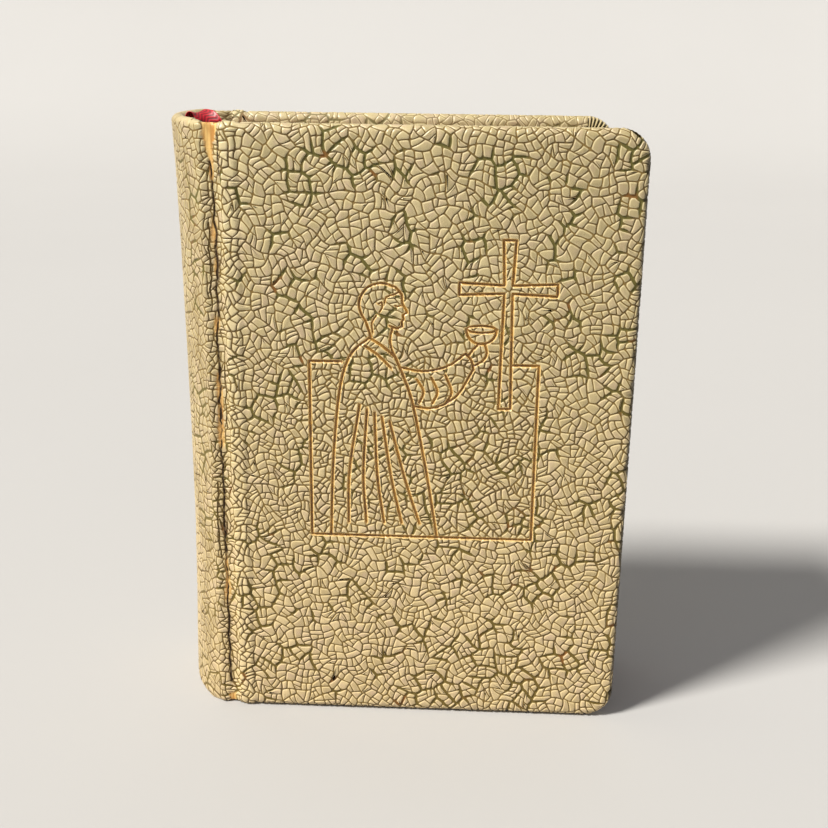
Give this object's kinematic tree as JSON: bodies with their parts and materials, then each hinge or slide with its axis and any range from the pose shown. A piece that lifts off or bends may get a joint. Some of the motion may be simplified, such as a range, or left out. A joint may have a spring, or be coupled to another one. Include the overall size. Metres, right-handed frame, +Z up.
{
  "type": "prayer book",
  "caption": "Small cased prayer book with leather-wrapped boards, grooved joints, rounded hollow spine, sewn sections and a ribbon marker, standing on its tail.",
  "frame": {"origin": "middle of the bounding box at the level of the tail edges that the book stands on", "axes": "+Z up along the spine's height, +Y from the front cover to the back cover, +X from the spine to the fore edge"},
  "size_m": [0.0932, 0.032, 0.1269],
  "materials": {
    "cover_leather": "crackle-embossed, satin",
    "board": "matt grey-brown binder's board",
    "endpaper": "smooth uncoated",
    "pages": "thin bible paper, red-stained edges",
    "gauze": "open weave",
    "band": "sewn band",
    "ribbon": "woven satin"
  },
  "bodies": {
    "spine": {"spine_leather": "cover_leather", "spine_inlay": "board", "spine_lining": "board", "spine_gauze": "gauze", "headband": "band", "tailband": "band", "ribbon_marker": "ribbon", "front_joint_leather": "cover_leather", "back_joint_leather": "cover_leather", "section_06": "pages"},
    "front_cover": {"front_cover_leather": "cover_leather", "front_board": "board", "front_pastedown": "endpaper"},
    "back_cover": {"back_cover_leather": "cover_leather", "back_board": "board", "back_pastedown": "endpaper"},
    "front_flyleaf": {"front_flyleaf": "endpaper"},
    "section_01": {"section_01": "pages"},
    "section_02": {"section_02": "pages"},
    "section_03": {"section_03": "pages"},
    "section_04": {"section_04": "pages"},
    "section_05": {"section_05": "pages"},
    "section_07": {"section_07": "pages"},
    "section_08": {"section_08": "pages"},
    "section_09": {"section_09": "pages"},
    "section_10": {"section_10": "pages"},
    "section_11": {"section_11": "pages"},
    "back_flyleaf": {"back_flyleaf": "endpaper"}
  },
  "joints": [
    {"name": "front_cover_hinge", "type": "hinge", "parent": "spine", "child": "front_cover", "pos_m": [-0.03665, -0.0157, 0], "axis": [0, 0, -1], "range_deg": [0, 180]},
    {"name": "back_cover_hinge", "type": "hinge", "parent": "spine", "child": "back_cover", "pos_m": [-0.04015, 0.0157, 0], "axis": [0, 0, 1], "range_deg": [0, 180]},
    {"name": "front_flyleaf_turn", "type": "hinge", "parent": "spine", "child": "front_flyleaf", "pos_m": [-0.03703, -0.0119, 0], "axis": [0, 0, -1], "range_deg": [0, 45]},
    {"name": "section_01_turn", "type": "hinge", "parent": "spine", "child": "section_01", "pos_m": [-0.03703, -0.01062, 0], "axis": [0, 0, -1], "range_deg": [0, 24]},
    {"name": "section_02_turn", "type": "hinge", "parent": "spine", "child": "section_02", "pos_m": [-0.0378, -0.00856, 0], "axis": [0, 0, -1], "range_deg": [0, 15]},
    {"name": "section_03_turn", "type": "hinge", "parent": "spine", "child": "section_03", "pos_m": [-0.03844, -0.00649, 0], "axis": [0, 0, -1], "range_deg": [0, 12]},
    {"name": "section_04_turn", "type": "hinge", "parent": "spine", "child": "section_04", "pos_m": [-0.03897, -0.00443, 0], "axis": [0, 0, -1], "range_deg": [0, 8]},
    {"name": "section_05_turn", "type": "hinge", "parent": "spine", "child": "section_05", "pos_m": [-0.03939, -0.00236, 0], "axis": [0, 0, -1], "range_deg": [0, 4]},
    {"name": "section_07_turn", "type": "hinge", "parent": "spine", "child": "section_07", "pos_m": [-0.0399, 0.00236, 0], "axis": [0, 0, 1], "range_deg": [0, 4]},
    {"name": "section_08_turn", "type": "hinge", "parent": "spine", "child": "section_08", "pos_m": [-0.03994, 0.00443, 0], "axis": [0, 0, 1], "range_deg": [0, 8]},
    {"name": "section_09_turn", "type": "hinge", "parent": "spine", "child": "section_09", "pos_m": [-0.03986, 0.00649, 0], "axis": [0, 0, 1], "range_deg": [0, 12]},
    {"name": "section_10_turn", "type": "hinge", "parent": "spine", "child": "section_10", "pos_m": [-0.03967, 0.00856, 0], "axis": [0, 0, 1], "range_deg": [0, 15]},
    {"name": "section_11_turn", "type": "hinge", "parent": "spine", "child": "section_11", "pos_m": [-0.03935, 0.01062, 0], "axis": [0, 0, 1], "range_deg": [0, 24]},
    {"name": "back_flyleaf_turn", "type": "hinge", "parent": "spine", "child": "back_flyleaf", "pos_m": [-0.03935, 0.0119, 0], "axis": [0, 0, 1], "range_deg": [0, 45]}
  ],
  "couplings": [
    {"joint": "front_flyleaf_turn", "follows": "front_cover_hinge", "ratio": 0.25},
    {"joint": "section_01_turn", "follows": "front_cover_hinge", "ratio": 0.13333},
    {"joint": "section_02_turn", "follows": "front_cover_hinge", "ratio": 0.083333},
    {"joint": "section_03_turn", "follows": "front_cover_hinge", "ratio": 0.066667},
    {"joint": "section_04_turn", "follows": "front_cover_hinge", "ratio": 0.044444},
    {"joint": "section_05_turn", "follows": "front_cover_hinge", "ratio": 0.022222},
    {"joint": "section_07_turn", "follows": "back_cover_hinge", "ratio": 0.022222},
    {"joint": "section_08_turn", "follows": "back_cover_hinge", "ratio": 0.044444},
    {"joint": "section_09_turn", "follows": "back_cover_hinge", "ratio": 0.066667},
    {"joint": "section_10_turn", "follows": "back_cover_hinge", "ratio": 0.083333},
    {"joint": "section_11_turn", "follows": "back_cover_hinge", "ratio": 0.13333},
    {"joint": "back_flyleaf_turn", "follows": "back_cover_hinge", "ratio": 0.25}
  ]
}
